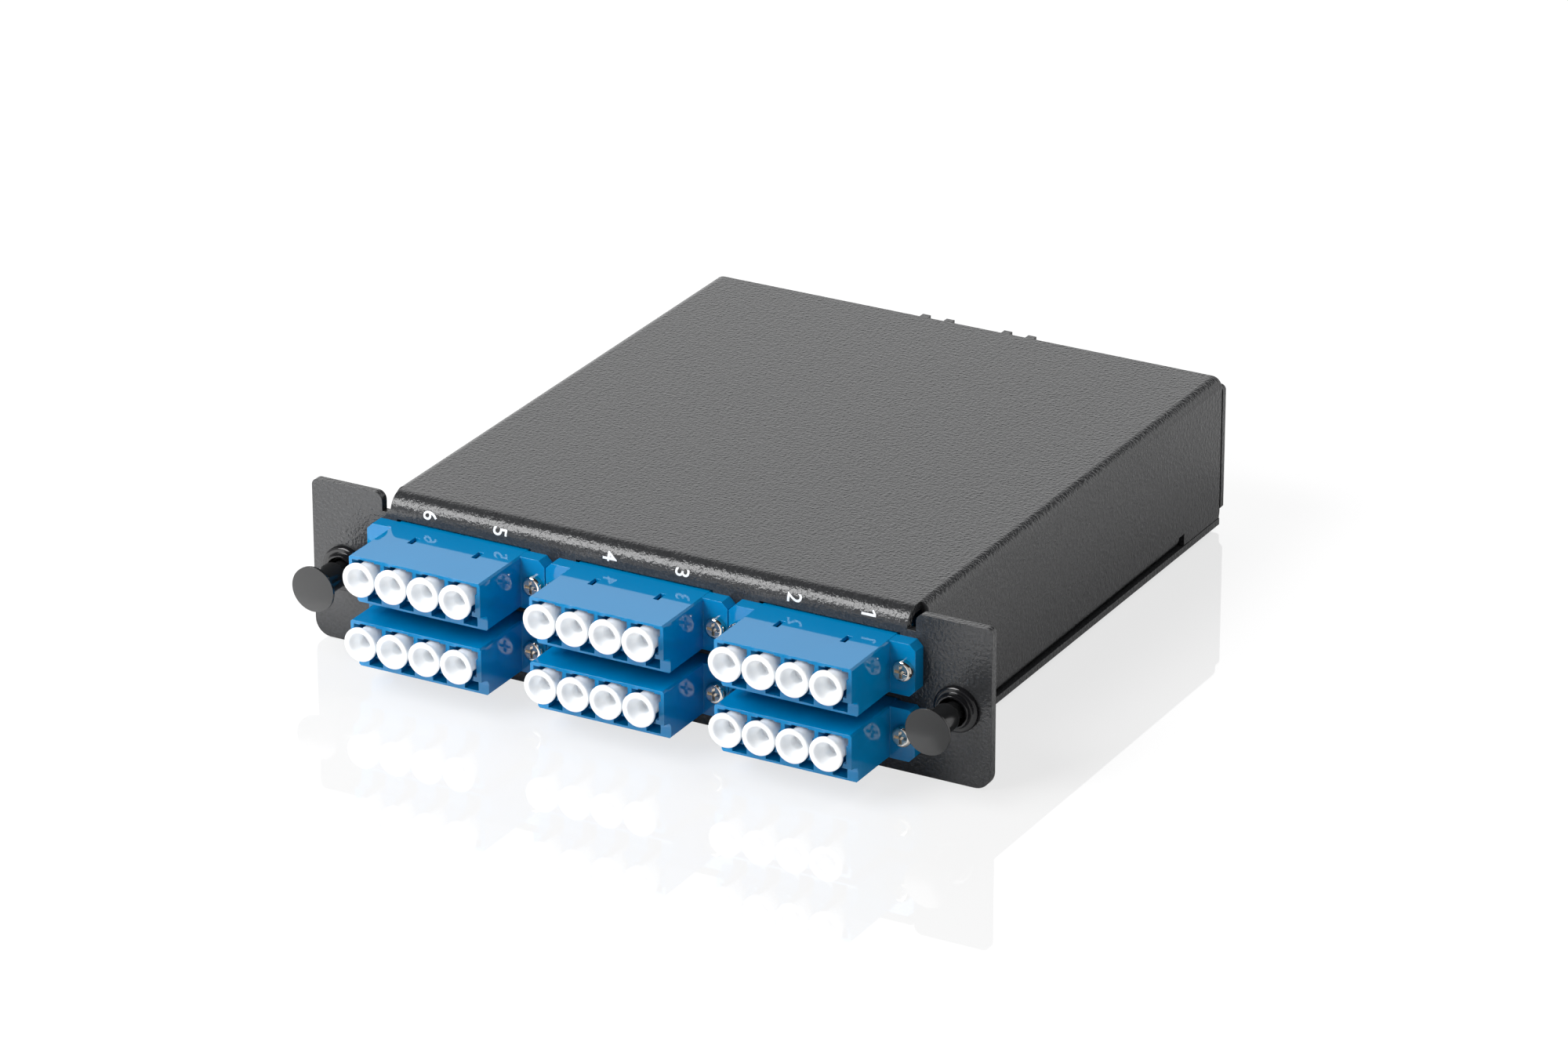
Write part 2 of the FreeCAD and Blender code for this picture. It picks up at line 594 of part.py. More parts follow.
def plunger(x, z):
    """Plunger that spreads the grommet's legs: knob, barrel and shaft in one piece."""
    tip = GROMMET_TIP - TRAVEL + PLUNGER_PAST
    face = KNOB_BACK_Y - KNOB_T
    body = turned([(0, face, 0), (KNOB_R, face, KNOB_EDGE_R), (KNOB_R, KNOB_BACK_Y, KNOB_EDGE_R),
                   (BARREL_KNOB_R, KNOB_BACK_Y, 0.3), (BARREL_KNOB_R, SHOULDER_Y, 0.6), (SHAFT_R, SHOULDER_Y, 0.1),
                   (SHAFT_R, tip, 0.4), (0, tip, 0)], x, z)
    dome = Part.makeSphere(KNOB_DOME_R, FreeCAD.Vector(x, face + KNOB_DOME_R, z))
    return body.common(dome)


def cross_recess(x, z, y):
    """Cross-shaped driver recess in a head whose face is at y."""
    w = CROSS_W / 2
    v = CROSS_L / 2
    return box(x - w, x + w, y - 1, y + CROSS_D, z - v, z + v).fuse(
        box(x - v, x + v, y - 1, y + CROSS_D, z - w, z + w))


def pan_screw(x, z, seat, length, toward):
    """Pan-head screw along Y with its head seated at y = seat."""
    face = seat - toward * SCREW_HEAD_T
    tip = seat + toward * length
    body = turned([(0, face, 0), (SCREW_HEAD_R, face, SCREW_HEAD_EDGE), (SCREW_HEAD_R, seat, 0), (SCREW_R, seat, 0),
                   (SCREW_R, tip, 0), (0, tip, 0)], x, z)
    recess = cross_recess(x, z, face)
    if toward < 0:
        recess = recess.mirror(FreeCAD.Vector(0, face, 0), FreeCAD.Vector(0, 1, 0))
    return body.cut(recess)


def hex_nut(x, z, y0, y1):
    """Hexagon nut along Y."""
    r = NUT_AF / 2 / (3 ** 0.5 / 2)
    hexagon = []
    for i in range(6):
        corner = FreeCAD.Vector(r, 0, 0)
        turn = FreeCAD.Rotation(FreeCAD.Vector(0, 0, 1), 60 * i + 30)
        corner = turn.multVec(corner)
        hexagon.append((x + corner.x, z + corner.y, 0))
    nut = prism("xz", hexagon, y0, y1)
    return nut.cut(rod_y(x, z, SCREW_R + THREAD_CLEAR, y0 - 1, y1 + 1))


def tab_screw_places():
    """Axis of each screw that holds an adapter tab to the panel."""
    return [(x + side * TAB_SCREW_X, z) for x, z in adapter_places() for side in (-1, 1)]


def rear_screw_places():
    """Axis of each screw that holds a rear adapter to the back panel."""
    return [(x + side * REAR_SCREW_X, z) for x, z in rear_places() for side in (-1, 1)]


def adapter_screws():
    """Screws of the six front adapters."""
    length = TAB_T + SHEET + NUT_T + SCREW_TIP
    return group(pan_screw(x, z, -TAB_T, length, 1) for x, z in tab_screw_places())


def adapter_nuts():
    """Nuts behind the front panel."""
    return group(hex_nut(x, z, SHEET, SHEET + NUT_T) for x, z in tab_screw_places())


def rear_screws():
    """Screws of the two rear adapters."""
    length = REAR_FLANGE_T + BASE_SHEET + NUT_T + SCREW_TIP
    return group(pan_screw(x, z, BACK_Y + REAR_FLANGE_T, length, -1) for x, z in rear_screw_places())


def rear_nuts():
    """Nuts inside the back panel."""
    return group(hex_nut(x, z, BACK_IN_Y - NUT_T, BACK_IN_Y) for x, z in rear_screw_places())


def base_screws():
    """Low-head screws from below, through the base into the cover's flanges."""
    solids = []
    for x, y in base_screw_places():
        head = rod_z(x, y, BASE_SCREW_HEAD_R, BASE_DROP - BASE_SCREW_HEAD_T, BASE_DROP)
        edge = [e for e in head.Edges if abs(e.BoundBox.ZMax - head.BoundBox.ZMin) < 1e-6]
        head = head.makeFillet(BASE_SCREW_ROUND, edge)
        shank = rod_z(x, y, BASE_SCREW_R, BASE_DROP - 0.2, BASE_DROP + BASE_SCREW_L)
        w = CROSS_W / 2
        v = CROSS_L / 2
        z1 = BASE_DROP - BASE_SCREW_HEAD_T + BASE_CROSS_D
        cross = box(x - w, x + w, y - v, y + v, -1, z1).fuse(box(x - v, x + v, y - w, y + w, -1, z1))
        solids.append(head.fuse(shank).cut(cross))
    return group(solids)


def rear_adapter(x, z):
    """Multi-fibre adapter: tube with a flange outside the back panel and a web inside."""
    w = REAR_W / 2
    h = REAR_H / 2
    body = box(x - w, x + w, REAR_INNER_Y, REAR_OUTER_Y, z - h, z + h)
    fw = REAR_FLANGE_W / 2
    fh = REAR_FLANGE_H / 2
    flange = prism("xz", [(x - fw, z - fh, 1), (x + fw, z - fh, 1), (x + fw, z + fh, 1), (x - fw, z + fh, 1)],
                   BACK_Y, BACK_Y + REAR_FLANGE_T)
    body = body.fuse(flange)
    iw = w - REAR_WALL
    ih = h - REAR_WALL
    k = REAR_KEY_W / 2
    cuts = []
    for y0, y1 in ((REAR_INNER_Y - 1, REAR_MID_Y - REAR_WEB_T / 2), (REAR_MID_Y + REAR_WEB_T / 2, REAR_OUTER_Y + 1)):
        cuts.append(box(x - iw, x + iw, y0, y1, z - ih, z + ih))
        cuts.append(box(x - k, x + k, y0, y1, z + ih - 0.1, z + ih + REAR_KEY_H))
    pw = REAR_PASS_W / 2
    ph = REAR_PASS_H / 2
    cuts.append(box(x - pw, x + pw, REAR_INNER_Y, REAR_OUTER_Y, z - ph, z + ph))
    for side in (-1, 1):
        cuts.append(rod_y(x + side * REAR_SCREW_X, z, TAB_HOLE_R, BACK_Y - 1, BACK_Y + REAR_FLANGE_T + 1))
    return body.cut(cuts).removeSplitter()


def rear_socket_half():
    """Half width and half height of what fits the rear adapter's socket."""
    return (REAR_W / 2 - REAR_WALL - REAR_PLUG_CLEAR, REAR_H / 2 - REAR_WALL - REAR_PLUG_CLEAR)


def rear_plug(x, z):
    """Multi-fibre plug inside the housing, with its ferrule and boot."""
    w, h = rear_socket_half()
    body = prism("xz", [(x - w, z - h, 0.8), (x + w, z - h, 0.8), (x + w, z + h, 0.8), (x - w, z + h, 0.8)],
                 REAR_PLUG_BACK, REAR_PLUG_TIP)
    fw = REAR_FERRULE_W / 2
    fh = REAR_FERRULE_H / 2
    ferrule = box(x - fw, x + fw, REAR_PLUG_TIP - 1, REAR_PLUG_TIP + REAR_FERRULE_L - 1, z - fh, z + fh)
    boot = turned([(0, REAR_PLUG_BACK + 1, 0), (REAR_BOOT_R, REAR_PLUG_BACK + 1, 0),
                   (REAR_BOOT_R, REAR_PLUG_BACK - 3, 0), (TRUNK_R + 0.2, TRUNK_END, 0), (0, TRUNK_END, 0)], x, z)
    return body.fuse([ferrule, boot]).removeSplitter()


def rear_cap(x, z):
    """Push-in dust cap of a rear adapter: plug with a rimmed head."""
    w, h = rear_socket_half()
    y0 = REAR_OUTER_Y - REAR_CAP_IN
    y1 = REAR_OUTER_Y + REAR_CAP_GAP
    stem = box(x - w, x + w, y0, y1 + 0.5, z - h, z + h)
    hw = REAR_W / 2 + REAR_CAP_RIM
    hh = REAR_H / 2 + REAR_CAP_RIM
    r = REAR_CAP_EDGE_R
    head = prism("xz", [(x - hw, z - hh, r), (x + hw, z - hh, r), (x + hw, z + hh, r), (x - hw, z + hh, r)],
                 y1, y1 + REAR_CAP_HEAD)
    return head.fuse(stem).removeSplitter()


def bent_tube(radius, points):
    """Round tube along straight runs joined by tangent arcs."""
    path = [FreeCAD.Vector(*p) for p in points]
    edges = []
    last = path[0]
    for before, here, after in zip(path, path[1:], path[2:]):
        back = before - here
        ahead = after - here
        half = back.getAngle(ahead) / 2
        reach = 0.45 * min(back.Length, ahead.Length)
        back.normalize()
        ahead.normalize()
        arc_r = reach * tan(half)
        middle = here + (back + ahead).normalize() * (arc_r / sin(half) - arc_r)
        start = here + back * reach
        end = here + ahead * reach
        edges.append(Part.makeLine(last, start))
        edges.append(Part.Arc(start, middle, end).toShape())
        last = end
    edges.append(Part.makeLine(last, path[-1]))
    circle = Part.Wire(Part.makeCircle(radius, path[0], FreeCAD.Vector(0, 1, 0)))
    return Part.Wire(edges).makePipeShell([circle], True, False)


def row_ports(row):
    """Port axes of one row of adapters, from left to right."""
    z = ROWS[row]
    return [p for x in COLUMNS for p in port_places(x, z)]


def fanout_fibres(row):
    """Single fibres from the plugs of one row to its fan-out block."""
    tubes = []
    for i, (x, z) in enumerate(row_ports(row)):
        end = (i - 5.5) * FIBRE_PITCH
        tubes.append(bent_tube(FIBRE_R, [(x, FIBRE_START, z), (x, FIBRE_START + FIBRE_LEAD, z),
                                         (end, BLOCK_Y - FIBRE_LEAD, z), (end, BLOCK_Y, z)]))
    return group(tubes)


def block_half():
    """Half width of a fan-out block."""
    return 6 * FIBRE_PITCH + BLOCK_SIDE


def fanout_blocks():
    """Blocks in which the single fibres of each row become one round trunk."""
    half = block_half()
    solids = []
    for row in (0, 1):
        z = row_ports(row)[0][1]
        solids.append(box(-half, half, BLOCK_Y, BLOCK_Y + BLOCK_L, z - BLOCK_H / 2, z + BLOCK_H / 2))
    return group(solids)


def fanout_holder():
    """Stand on the base tray whose two windows hold the fan-out blocks."""
    half = block_half()
    side = half + HOLDER_WALL
    y0 = BLOCK_Y + (BLOCK_L - HOLDER_L) / 2
    y1 = y0 + HOLDER_L
    middle = (y0 + y1) / 2
    top = row_ports(0)[0][1] + BLOCK_H / 2 + HOLDER_TOP
    holder = box(-side, side, y0, y1, BASE_TOP, top)
    foot = box(-side, side, middle - HOLDER_FOOT_L / 2, middle + HOLDER_FOOT_L / 2, BASE_TOP, BASE_TOP + HOLDER_FOOT_T)
    holder = holder.fuse(foot)
    for row in (0, 1):
        z = row_ports(row)[0][1]
        holder = holder.cut(box(-half, half, y0 - 1, y1 + 1, z - BLOCK_H / 2, z + BLOCK_H / 2))
    return holder.removeSplitter()


def trunk(row):
    """Round trunk from a fan-out block to the boot of a multi-fibre plug."""
    x, z = rear_places()[row]
    start = row_ports(row)[0][1]
    y0 = BLOCK_Y + BLOCK_L
    return bent_tube(TRUNK_R, [(0, y0, start), (0, y0 + TRUNK_LEAD, start), (x, TRUNK_END - TRUNK_LEAD, z),
                               (x, TRUNK_END, z)])


def save(name, shape):
    """Write one named piece."""
    shape.exportStep("parts/%s.step" % name)


def main():
    """Build and write every piece."""
    os.makedirs("parts", exist_ok=True)
    save("housing_cover", housing_cover())
    save("base_tray", base_tray())
    save("base_screws", base_screws())
    number = 0
    for i, (x, z) in enumerate(adapter_places()):
        save("lc_adapter_%d" % (i + 1), lc_adapter(x, z))
        for px, pz in port_places(x, z):
            number += 1
            save("dust_cap_%02d" % number, dust_cap(px, pz))
    save("alignment_sleeves", group(sleeve(x, z) for row in (0, 1) for x, z in row_ports(row)))
    for row, name in enumerate(("upper", "lower")):
        save("lc_plugs_%s" % name, group(lc_plug(x, z) for x, z in row_ports(row)))
        save("fanout_fibres_%s" % name, fanout_fibres(row))
    save("fanout_blocks", fanout_blocks())
    save("fanout_holder", fanout_holder())
    save("adapter_screws", adapter_screws())
    save("adapter_nuts", adapter_nuts())
    save("rear_screws", rear_screws())
    save("rear_nuts", rear_nuts())
    for i, name in enumerate(("left", "right")):
        side = (-1, 1)[i]
        save("grommet_%s" % name, grommet(side * PLUNGER_X, PLUNGER_Z))
        save("plunger_%s" % name, plunger(side * PLUNGER_X, PLUNGER_Z))
        x, z = rear_places()[i]
        save("mpo_adapter_%s" % name, rear_adapter(x, z))
        save("mpo_plug_%s" % name, rear_plug(x, z))
        save("mpo_cap_%s" % name, rear_cap(x, z))
        save("fibre_trunk_%s" % name, trunk(i))


main()
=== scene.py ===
"""Fibre cassette: finishes, printed digits, studio and camera."""

import logging
from abc import ABC, abstractmethod
from collections.abc import Iterable
from dataclasses import dataclass, field, fields
from enum import Enum
from math import cos, pi, radians, sin

import bmesh
import bpy
from mathutils import Matrix, Vector


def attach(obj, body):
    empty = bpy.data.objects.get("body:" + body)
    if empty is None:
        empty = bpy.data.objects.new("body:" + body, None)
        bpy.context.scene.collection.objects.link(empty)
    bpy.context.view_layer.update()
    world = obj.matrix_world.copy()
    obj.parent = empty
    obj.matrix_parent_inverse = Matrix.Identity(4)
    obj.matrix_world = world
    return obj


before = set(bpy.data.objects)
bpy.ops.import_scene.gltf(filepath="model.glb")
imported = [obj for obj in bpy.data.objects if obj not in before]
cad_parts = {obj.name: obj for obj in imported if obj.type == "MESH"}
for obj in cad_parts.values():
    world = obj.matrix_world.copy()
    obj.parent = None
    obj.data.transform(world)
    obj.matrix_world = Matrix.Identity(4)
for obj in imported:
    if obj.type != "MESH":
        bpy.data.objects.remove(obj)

MM = 0.001
LOG = logging.getLogger("fibre_cassette")

Tree = bpy.types.NodeTree
Socket = bpy.types.NodeSocket
Colour = tuple[float, float, float]
Point = tuple[float, float, float]


# Shared shading effects

NOISE_ROUGHNESS = 0.55  # weight of each finer octave of noise against the one before
SWELL_SCALE = 0.28  # scale of a coat's swells, as a share of its wrinkles' scale
CREST_NOISE = (0.30, 0.62)  # noise at the foot and at the top of a coat's crests
SKIN_GRAIN = 0.04  # height of a moulded skin's grain, as a share of its waves
SPECK_CONTRAST = 16.0  # steepness of a speck's edge
BEVEL_SAMPLES = 4  # rays that soften a sharp edge


class Effect(Enum):
    """Effects of a surface, each a node group that a finish places with its own values."""

    PEEL = "coat_peel"
    MOULDED = "moulded_skin"
    SPECKLE = "fine_speckle"


def new_group(effect: Effect, inputs: dict[str, float], outputs: Iterable[str]) -> Tree:
    """Start a shader node group with named number sockets.

    Args:
        effect: The effect that the group makes.
        inputs: Name and default value of each number that goes in.
        outputs: Name of each number that comes out.

    Returns:
        The empty group, with its input and output nodes.
    """
    group = bpy.data.node_groups.new(effect.value, "ShaderNodeTree")
    for name, value in inputs.items():
        socket = group.interface.new_socket(name=name, in_out="INPUT", socket_type="NodeSocketFloat")
        socket.default_value = value
    for name in outputs:
        group.interface.new_socket(name=name, in_out="OUTPUT", socket_type="NodeSocketFloat")
    group.nodes.new("NodeGroupInput").name = "in"
    group.nodes.new("NodeGroupOutput").name = "out"
    return group


def feed(tree: Tree, socket: Socket, value: Socket | float | tuple[float, ...]) -> None:
    """Link a socket to another one, or set its own value.

    Args:
        tree: Node tree that holds the socket.
        socket: Input socket.
        value: Socket, number or colour for it.
    """
    if isinstance(value, Socket):
        tree.links.new(value, socket)
    else:
        socket.default_value = value


def math_node(tree: Tree, operation: str, *terms: Socket | float, clamp: bool = False) -> Socket:
    """Add a Math node.

    Args:
        tree: Node tree that gets the node.
        operation: Blender's name of the operation.
        *terms: Sockets or numbers that it works on, in order.
        clamp: Whether the result is kept from 0 to 1.

    Returns:
        The result socket.
    """
    node = tree.nodes.new("ShaderNodeMath")
    node.operation = operation
    node.use_clamp = clamp
    for socket, term in zip(node.inputs, terms):
        feed(tree, socket, term)
    return node.outputs[0]


def noise_node(tree: Tree, where: Socket, scale: Socket | float, detail: float) -> Socket:
    """Add a Noise Texture.

    Args:
        tree: Node tree that gets the node.
        where: Socket with the coordinates.
        scale: Socket or number for the scale.
        detail: Octaves of the noise.

    Returns:
        The factor socket.
    """
    node = tree.nodes.new("ShaderNodeTexNoise")
    tree.links.new(where, node.inputs["Vector"])
    feed(tree, node.inputs["Scale"], scale)
    node.inputs["Detail"].default_value = detail
    node.inputs["Roughness"].default_value = NOISE_ROUGHNESS
    return node.outputs[0]


def map_range(tree: Tree, value: Socket, low: float, high: float,
              span: tuple[float, float] = (0.0, 1.0)) -> Socket:
    """Spread a value over a range, and hold it at both ends.

    Args:
        tree: Node tree that gets the node.
        value: Socket with the value.
        low: Result at the start of the span.
        high: Result at the end of the span.
        span: Values between which the result runs from low to high.

    Returns:
        The result socket.
    """
    node = tree.nodes.new("ShaderNodeMapRange")
    node.inputs["From Min"].default_value, node.inputs["From Max"].default_value = span
    node.inputs["To Min"].default_value = low
    node.inputs["To Max"].default_value = high
    tree.links.new(value, node.inputs["Value"])
    return node.outputs[0]


def peel_group() -> Tree:
    """Relief of a powder coat: small wrinkles on longer swells.

    Returns:
        The node group.
    """
    group = new_group(Effect.PEEL, {"Grain": 2600.0, "Swell": 0.12}, ("Height", "Crests"))
    place = group.nodes.new("ShaderNodeTexCoord").outputs["Object"]
    given = group.nodes["in"].outputs
    result = group.nodes["out"].inputs
    fine = noise_node(group, place, given["Grain"], detail=2.0)
    coarse = noise_node(group, place, math_node(group, "MULTIPLY", given["Grain"], SWELL_SCALE), detail=1.0)
    swell = math_node(group, "MULTIPLY", coarse, given["Swell"])
    group.links.new(math_node(group, "ADD", fine, swell), result["Height"])
    group.links.new(map_range(group, fine, 0.0, 1.0, CREST_NOISE), result["Crests"])
    return group


def moulded_group() -> Tree:
    """Skin of a moulding: faint waviness and a slow drift of tone.

    Returns:
        The node group.
    """
    group = new_group(Effect.MOULDED, {"Wave": 120.0, "Grain": 3000.0}, ("Height", "Tone"))
    place = group.nodes.new("ShaderNodeTexCoord").outputs["Object"]
    given = group.nodes["in"].outputs
    result = group.nodes["out"].inputs
    wave = noise_node(group, place, given["Wave"], detail=1.0)
    grain = noise_node(group, place, given["Grain"], detail=1.0)
    fine = math_node(group, "MULTIPLY", grain, SKIN_GRAIN)
    group.links.new(math_node(group, "ADD", wave, fine), result["Height"])
    group.links.new(wave, result["Tone"])
    return group


def speckle_group() -> Tree:
    """Sparse fine specks, such as dust in a coat or glints in a matt skin.

    Returns:
        The node group.
    """
    group = new_group(Effect.SPECKLE, {"Scale": 1500.0, "Threshold": 0.68}, ("Mask",))
    place = group.nodes.new("ShaderNodeTexCoord").outputs["Object"]
    given = group.nodes["in"].outputs
    dots = noise_node(group, place, given["Scale"], detail=1.0)
    over = math_node(group, "SUBTRACT", dots, given["Threshold"])
    mask = math_node(group, "MULTIPLY", over, SPECK_CONTRAST, clamp=True)
    group.links.new(mask, group.nodes["out"].inputs["Mask"])
    return group


BUILDERS = {Effect.PEEL: peel_group, Effect.MOULDED: moulded_group, Effect.SPECKLE: speckle_group}


def place_group(tree: Tree, effect: Effect, **values: float) -> bpy.types.ShaderNodeGroup:
    """Put a shared effect in a material.

    Args:
        tree: The material's node tree.
        effect: The effect to place.
        **values: Values of the group's inputs.

    Returns:
        The group node.
    """
    node = tree.nodes.new("ShaderNodeGroup")
    node.node_tree = bpy.data.node_groups.get(effect.value) or BUILDERS[effect]()
    for name, value in values.items():
        node.inputs[name].default_value = value
    return node


def blend_colours(tree: Tree, factor: Socket, low: Colour | Socket, high: Colour) -> Socket:
    """Mix two colours by a factor.

    Args:
        tree: The material's node tree.
        factor: Socket that chooses between them.
        low: Colour at 0, or the socket that gives it.
        high: Colour at 1.

    Returns:
        The colour socket.
    """
    mix = tree.nodes.new("ShaderNodeMix")
    mix.data_type = "RGBA"
    feed(tree, mix.inputs["A"], low if isinstance(low, Socket) else (*low, 1.0))
    mix.inputs["B"].default_value = (*high, 1.0)
    tree.links.new(factor, mix.inputs["Factor"])
    return mix.outputs["Result"]


def add_bump(tree: Tree, shader: bpy.types.ShaderNode, height: Socket, depth: float, strength: float,
             edge: float) -> None:
    """Feed a height and softened edges into a shader's normal.

    Args:
        tree: The material's node tree.
        shader: Shader that gets the normal.
        height: Socket with the height.
        depth: Depth of a height of 1, in metres.
        strength: Strength of the bump.
        edge: Radius that sharp edges seem to have, in metres.
    """
    soft = tree.nodes.new("ShaderNodeBevel")
    soft.samples = BEVEL_SAMPLES
    soft.inputs["Radius"].default_value = edge
    bump = tree.nodes.new("ShaderNodeBump")
    tree.links.new(soft.outputs[0], bump.inputs["Normal"])
    bump.inputs["Distance"].default_value = depth
    bump.inputs["Strength"].default_value = strength
    tree.links.new(height, bump.inputs["Height"])
    tree.links.new(bump.outputs["Normal"], shader.inputs["Normal"])


# Finishes


@dataclass(frozen=True)
class Finish(ABC):
    """Base of the finishes: a named Principled material.

    Attributes:
        name: Name of the material.
        colour: Main colour, linear.
        roughness: Mean roughness.
        edge: Radius that sharp edges seem to have, in metres.
    """

    name: str
    colour: Colour
    roughness: float
    edge: float = 0.00015

    def start(self) -> tuple[bpy.types.Material, Tree, bpy.types.ShaderNode]:
        """Make the material with its shader.

        Returns:
            The material, its node tree and its Principled shader.
        """
        material = bpy.data.materials.new(self.name)
        material.use_nodes = True
        tree = material.node_tree
        shader = tree.nodes["Principled BSDF"]
        shader.inputs["Base Color"].default_value = (*self.colour, 1.0)
        shader.inputs["Roughness"].default_value = self.roughness
        return material, tree, shader

    @abstractmethod
    def build(self) -> bpy.types.Material:
        """Make the material."""


@dataclass(frozen=True)
class PowderCoat(Finish):
    """Dark powder coat with a wrinkled relief, crests painted paler as a highlight and pits left darker as
    painted shade, and dark specks.

    Attributes:
        crest_highlight: Colour of the crests, a painted highlight on the relief's tops.
        speck: Colour of the specks.
        speck_scale: Scale of the noise that places the specks.
        speck_threshold: Noise above which there is a speck.
        dull: Roughness that the pits have above the mean.
        polish: Roughness that the crests have below the mean.
        grain: Scale of the wrinkles' noise.
        depth: Depth of the relief in metres.
        strength: Strength of the relief.
    """

    # Painted highlight: the crests' paler colour follows the relief's height, and the pits keep the darker
    # main colour as painted shade.
    crest_highlight: Colour = (0.034, 0.035, 0.037)
    speck: Colour = (0.012, 0.012, 0.013)
    speck_scale: float = 1900.0
    speck_threshold: float = 0.70
    dull: float = 0.08
    polish: float = 0.04
    grain: float = 1700.0
    depth: float = 0.00014
    strength: float = 0.9

    def build(self) -> bpy.types.Material:
        """Make the material, which has no sheen where another surface mirrors it.

        Returns:
            The material.
        """
        material, tree, shader = self.start()
        peel = place_group(tree, Effect.PEEL, Grain=self.grain)
        specks = place_group(tree, Effect.SPECKLE, Scale=self.speck_scale, Threshold=self.speck_threshold)
        crests = peel.outputs["Crests"]
        # Painted light and shade: paler on the relief's crests, darker in its pits.
        tone = blend_colours(tree, crests, self.colour, self.crest_highlight)
        colour = blend_colours(tree, specks.outputs["Mask"], tone, self.speck)
        tree.links.new(colour, shader.inputs["Base Color"])
        sheen = map_range(tree, crests, self.roughness + self.dull, self.roughness - self.polish)
        mirrored = tree.nodes.new("ShaderNodeLightPath").outputs["Is Glossy Ray"]
        tree.links.new(math_node(tree, "MAXIMUM", sheen, mirrored), shader.inputs["Roughness"])
        add_bump(tree, shader, peel.outputs["Height"], self.depth, self.strength, self.edge)
        return material


@dataclass(frozen=True, kw_only=True)
class MouldedPlastic(Finish):
    """Moulded plastic with a faint waviness.

    Attributes:
        shade: Colour where the tone drifts darker.
        spread: How far the roughness drifts from its mean, as a share of it.
        depth: Depth of the waviness in metres.
        strength: Strength of the waviness.
        gloss: Strength of the mirrored light, 0.5 for plain plastic.
        glow: Weight of the light that passes under the skin.
        painted_glow: Painted glow that the part gives off evenly all over, in place of light through thin
            walls.
        reach: How far light travels under the skin, in metres.
        reach_colour: Share of that reach for red, green and blue.
    """

    shade: Colour
    spread: float = 0.2
    depth: float = 0.00002
    strength: float = 0.5
    gloss: float = 0.5
    glow: float = 0.0
    painted_glow: float = 0.0
    reach: float = 0.0016
    reach_colour: Colour = (0.9, 0.95, 1.0)

    def build(self) -> bpy.types.Material:
        """Make the material.

        Returns:
            The material.
        """
        material, tree, shader = self.start()
        skin = place_group(tree, Effect.MOULDED)
        tone = skin.outputs["Tone"]
        tree.links.new(blend_colours(tree, tone, self.shade, self.colour), shader.inputs["Base Color"])
        sheen = map_range(tree, tone, self.roughness * (1 - self.spread), self.roughness * (1 + self.spread))
        tree.links.new(sheen, shader.inputs["Roughness"])
        shader.inputs["Specular IOR Level"].default_value = self.gloss
        if self.glow:
            shader.inputs["Subsurface Weight"].default_value = self.glow
            shader.inputs["Subsurface Radius"].default_value = self.reach_colour
            shader.inputs["Subsurface Scale"].default_value = self.reach
            # Painted glow: the emission brightens the part evenly all over, standing in for light that
            # passes through its thin walls.
            shader.inputs["Emission Color"].default_value = (*self.colour, 1.0)
            shader.inputs["Emission Strength"].default_value = self.painted_glow
        add_bump(tree, shader, skin.outputs["Height"], self.depth, self.strength, self.edge)
        return material


@dataclass(frozen=True)
class PlatedSteel(Finish):
    """Plated steel with fine turning marks.

    Attributes:
        wave: Scale of the noise for the marks.
        grain: Scale of the noise for the grain on them.
        spread: How far the roughness drifts from its mean, as a share of it.
        depth: Depth of the marks in metres.
        strength: Strength of the marks.
    """

    wave: float = 900.0
    grain: float = 6000.0
    spread: float = 0.4
    depth: float = 0.00002
    strength: float = 0.4

    def build(self) -> bpy.types.Material:
        """Make the material.

        Returns:
            The material.
        """
        material, tree, shader = self.start()
        shader.inputs["Metallic"].default_value = 1.0
        skin = place_group(tree, Effect.MOULDED, Wave=self.wave, Grain=self.grain)
        sheen = map_range(tree, skin.outputs["Tone"], self.roughness * (1 - self.spread),
                          self.roughness * (1 + self.spread))
        tree.links.new(sheen, shader.inputs["Roughness"])
        add_bump(tree, shader, skin.outputs["Height"], self.depth, self.strength, self.edge)
        return material


